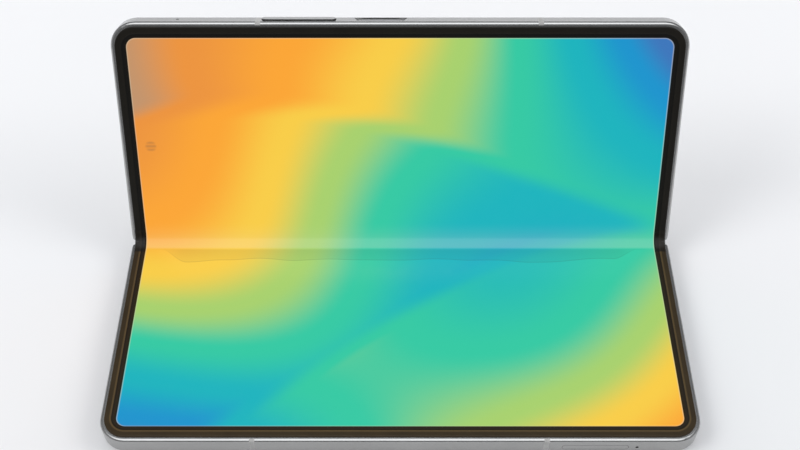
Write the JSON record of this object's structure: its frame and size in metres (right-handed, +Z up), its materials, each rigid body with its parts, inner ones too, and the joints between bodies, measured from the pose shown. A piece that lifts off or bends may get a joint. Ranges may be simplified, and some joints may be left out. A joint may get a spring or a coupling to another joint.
{
  "type": "foldable smartphone",
  "caption": "Book-style folding phone, half open: a thin rounded slab in two halves joined by a geared hinge, with one display bending across both.",
  "frame": {"origin": "centre of the flat underside of the half that lies down, on the surface it stands on", "axes": "+X along the hinge towards the end with the charging port, +Y from the lying half's front edge towards the hinge and the raised half, +Z up"},
  "size_m": [0.1548, 0.0978, 0.0638],
  "materials": {
    "satin_alloy": "satin anodised",
    "black_border": "smooth matt",
    "display": "gloss",
    "back_glass": "frosted",
    "cover_black": "gloss",
    "steel": "brushed",
    "brass": "machined",
    "black_plastic": "fine matt",
    "band_plastic": "matt",
    "battery": "wrapped",
    "board": "soldermask",
    "copper": "wound",
    "lens_glass": "coated",
    "white_window": "diffusing"
  },
  "bodies": {
    "base": {"base_frame": "satin_alloy", "base_bezel": "black_border", "base_display": "display", "base_display_plate": "steel", "cover_glass": "cover_black", "cover_display": "cover_black", "cover_camera": "lens_glass", "base_battery": "battery", "sub_board": "board", "haptic_motor": "steel", "top_speaker": "black_plastic", "earpiece_mesh": "steel", "tray_reader": "steel", "base_antenna_bands": "band_plastic", "base_hinge_brackets": "steel", "base_gear_shafts": "steel", "base_friction_springs": "steel", "base_hinge_screws": "steel"},
    "spine": {"hinge_spine": "satin_alloy", "bearing_plates": "steel", "hinge_cap_left": "black_plastic", "hinge_cap_right": "black_plastic", "display_fold": "display"},
    "lid": {"lid_frame": "satin_alloy", "lid_bezel": "black_border", "lid_display": "display", "lid_display_plate": "steel", "rear_glass": "back_glass", "camera_island": "satin_alloy", "lens_rings": "steel", "lens_windows": "lens_glass", "flash_window": "white_window", "camera_modules": "black_plastic", "main_board": "board", "shield_cans": "steel", "lid_battery": "battery", "charging_coil": "copper", "bottom_speaker": "black_plastic", "charging_port": "steel", "inner_camera": "lens_glass", "key_board": "copper", "lid_antenna_bands": "band_plastic", "lid_hinge_brackets": "steel", "lid_gear_shafts": "steel", "lid_friction_springs": "steel", "lid_hinge_screws": "steel"},
    "base_idlers": {"base_idler_gears": "brass"},
    "lid_idlers": {"lid_idler_gears": "brass"},
    "volume_key": {"volume_key": "satin_alloy"},
    "side_key": {"side_key": "satin_alloy", "fingerprint_sensor": "black_plastic"},
    "card_tray": {"card_tray": "satin_alloy"}
  },
  "joints": [
    {"name": "base_fold", "type": "hinge", "parent": "base", "child": "spine", "pos_m": [0, 0.03175, 0.00487], "axis": [1, 0, 0], "range_deg": [-32, 58], "deforming": ["display_fold"]},
    {"name": "lid_fold", "type": "hinge", "parent": "spine", "child": "lid", "pos_m": [0, 0.03485, 0.00681], "axis": [1, 0, 0], "range_deg": [-32, 58]},
    {"name": "base_idler_turn", "type": "hinge", "parent": "spine", "child": "base_idlers", "pos_m": [0, 0.03359, 0.00349], "axis": [1, 0, 0], "range_deg": [-41.61, 75.41]},
    {"name": "lid_idler_turn", "type": "hinge", "parent": "spine", "child": "lid_idlers", "pos_m": [0, 0.03528, 0.00455], "axis": [1, 0, 0], "range_deg": [-75.41, 41.61]},
    {"name": "volume_rock", "type": "hinge", "parent": "lid", "child": "volume_key", "pos_m": [-0.027, 0.06376, 0.06182], "axis": [0, -0.8988, 0.4384], "range_deg": [-1.2, 1.2], "stiffness_Nm_per_rad": 0.3},
    {"name": "side_press", "type": "slide", "parent": "lid", "child": "side_key", "axis": [0, -0.4384, -0.8988], "range_m": [0, 0.00025], "stiffness_N_per_m": 1500},
    {"name": "tray_slide", "type": "slide", "parent": "base", "child": "card_tray", "axis": [0, -1, 0], "range_m": [0, 0.022]}
  ],
  "couplings": [
    {"joint": "lid_fold", "follows": "base_fold", "ratio": 1},
    {"joint": "base_idler_turn", "follows": "base_fold", "ratio": 1.3},
    {"joint": "lid_idler_turn", "follows": "base_fold", "ratio": -1.3}
  ]
}
